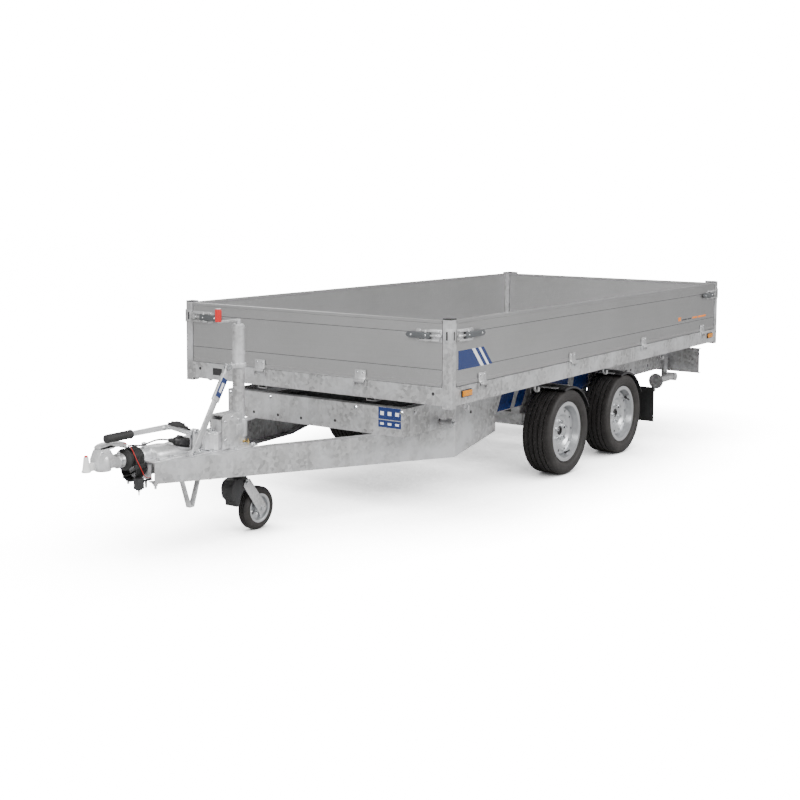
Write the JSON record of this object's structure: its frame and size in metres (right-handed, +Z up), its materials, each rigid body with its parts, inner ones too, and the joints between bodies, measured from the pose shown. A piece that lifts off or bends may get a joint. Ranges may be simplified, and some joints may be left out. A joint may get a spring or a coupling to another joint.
{
  "type": "tandem-axle tipping trailer",
  "caption": "Three-way tipping trailer: drop-side bed on a tandem-axle drawbar chassis, with ball coupling, jockey wheel and telescopic ram.",
  "frame": {"origin": "on the ground under the middle of the trailer's bounding box", "axes": "+X towards the tail along the trailer, -Y its left side, +Z up"},
  "size_m": [5.264, 1.88, 1.136],
  "materials": {
    "galvanised": "hot-dip galvanised",
    "floor_steel": "galvanised sheet",
    "aluminium": "satin anodised",
    "tyre": "matt",
    "rim": "silver paint",
    "black_plastic": "moulded",
    "rubber": "matt",
    "amber_lens": "clear amber",
    "red_lens": "clear red",
    "zinc_cast": "zinc plated",
    "zinc_lever": "zinc plated",
    "black_steel": "satin",
    "polished_steel": "hard chrome"
  },
  "bodies": {
    "chassis": {"axle_front": "galvanised", "axle_rear": "galvanised", "chassis_crossmembers": "galvanised", "chassis_pivots": "galvanised", "chassis_rail_left": "galvanised", "chassis_rail_right": "galvanised", "coupling_handle": "zinc_cast", "coupling_head": "zinc_cast", "drawbar_arm_left": "galvanised", "drawbar_arm_right": "galvanised", "front_crossmember": "galvanised", "gaiter": "rubber", "handbrake_lever": "zinc_lever", "jack_clamp": "galvanised", "jack_post": "galvanised", "mud_flaps": "rubber", "mudguards": "black_plastic", "nose_loop": "galvanised", "overrun_housing": "zinc_cast", "pump_and_battery": "black_plastic", "rail_brackets": "galvanised", "rear_lamp_bar": "galvanised", "rear_lamps": "red_lens"},
    "bed": {"bed_rails": "galvanised", "bed_fittings": "galvanised", "bed_pivots": "galvanised", "bed_subframe": "galvanised", "corner_posts": "galvanised", "post_caps": "black_plastic", "bed_floor": "floor_steel", "marker_lamps": "amber_lens"},
    "board_left": {"board_left": "aluminium", "board_fittings_left": "galvanised"},
    "board_right": {"board_right": "aluminium", "board_fittings_right": "galvanised"},
    "board_front": {"board_front": "aluminium", "board_fittings_front": "galvanised"},
    "board_rear": {"board_rear": "aluminium"},
    "jockey_fork": {"jack_fork": "black_steel"},
    "jockey_wheel": {"jack_tyre": "tyre", "jack_rim": "rim"},
    "prop_left": {"prop_stand_left": "galvanised"},
    "prop_right": {"prop_stand_right": "galvanised"},
    "ram_barrel": {"ram_barrel": "black_steel"},
    "ram_stage_1": {"ram_stage_1": "polished_steel"},
    "ram_stage_2": {"ram_stage_2": "polished_steel"},
    "ram_stage_3": {"ram_stage_3": "polished_steel"},
    "wheel_front_left": {"tyre_front_left": "tyre", "rim_front_left": "rim"},
    "wheel_front_right": {"tyre_front_right": "tyre", "rim_front_right": "rim"},
    "wheel_rear_left": {"tyre_rear_left": "tyre", "rim_rear_left": "rim"},
    "wheel_rear_right": {"tyre_rear_right": "tyre", "rim_rear_right": "rim"}
  },
  "joints": [
    {"name": "bed_tip", "type": "hinge", "parent": "chassis", "child": "bed", "pos_m": [2.44, 0, 0.602], "axis": [0, 1, 0], "range_deg": [0, 45]},
    {"name": "board_left_drop", "type": "hinge", "parent": "bed", "child": "board_left", "pos_m": [0.776, -0.931, 0.706], "axis": [1, 0, 0], "range_deg": [0, 180]},
    {"name": "board_right_drop", "type": "hinge", "parent": "bed", "child": "board_right", "pos_m": [0.776, 0.931, 0.706], "axis": [-1, 0, 0], "range_deg": [0, 180]},
    {"name": "board_front_drop", "type": "hinge", "parent": "bed", "child": "board_front", "pos_m": [-1.075, 0, 0.706], "axis": [0, -1, 0], "range_deg": [0, 130]},
    {"name": "board_rear_swing", "type": "hinge", "parent": "bed", "child": "board_rear", "pos_m": [2.623, 0, 1.061], "axis": [0, -1, 0], "range_deg": [0, 90]},
    {"name": "wheel_front_left_spin", "type": "hinge", "parent": "chassis", "child": "wheel_front_left", "pos_m": [0.39, -0.749, 0.2625], "axis": [0, 1, 0], "continuous": true},
    {"name": "wheel_front_right_spin", "type": "hinge", "parent": "chassis", "child": "wheel_front_right", "pos_m": [0.39, 0.749, 0.2625], "axis": [0, 1, 0], "continuous": true},
    {"name": "wheel_rear_left_spin", "type": "hinge", "parent": "chassis", "child": "wheel_rear_left", "pos_m": [1.174, -0.749, 0.2625], "axis": [0, 1, 0], "continuous": true},
    {"name": "wheel_rear_right_spin", "type": "hinge", "parent": "chassis", "child": "wheel_rear_right", "pos_m": [1.174, 0.749, 0.2625], "axis": [0, 1, 0], "continuous": true},
    {"name": "jockey_swivel", "type": "hinge", "parent": "chassis", "child": "jockey_fork", "pos_m": [-1.754, -0.12, 0.24], "axis": [0, 0, 1], "continuous": true},
    {"name": "jockey_wheel_spin", "type": "hinge", "parent": "jockey_fork", "child": "jockey_wheel", "pos_m": [-1.633, -0.12, 0.109], "axis": [0, 1, 0], "continuous": true},
    {"name": "prop_left_swing", "type": "hinge", "parent": "chassis", "child": "prop_left", "pos_m": [2.33, -0.69, 0.365], "axis": [0, -1, 0], "range_deg": [0, 90]},
    {"name": "prop_right_swing", "type": "hinge", "parent": "chassis", "child": "prop_right", "pos_m": [2.33, 0.69, 0.365], "axis": [0, -1, 0], "range_deg": [0, 90]},
    {"name": "ram_lean", "type": "hinge", "parent": "chassis", "child": "ram_barrel", "pos_m": [1.18, 0, 0.17], "axis": [0, 1, 0], "range_deg": [0, 15.81]},
    {"name": "ram_slide_1", "type": "slide", "parent": "ram_barrel", "child": "ram_stage_1", "axis": [0, 0, 1], "range_m": [0, 0.3136]},
    {"name": "ram_slide_2", "type": "slide", "parent": "ram_stage_1", "child": "ram_stage_2", "axis": [0, 0, 1], "range_m": [0, 0.3136]},
    {"name": "ram_slide_3", "type": "slide", "parent": "ram_stage_2", "child": "ram_stage_3", "axis": [0, 0, 1], "range_m": [0, 0.3136]}
  ],
  "couplings": [
    {"joint": "ram_lean", "follows": "bed_tip", "ratio": 0.3509},
    {"joint": "ram_slide_1", "follows": "bed_tip", "m_per_rad": 0.39903},
    {"joint": "ram_slide_2", "follows": "bed_tip", "m_per_rad": 0.39903},
    {"joint": "ram_slide_3", "follows": "bed_tip", "m_per_rad": 0.39903}
  ]
}
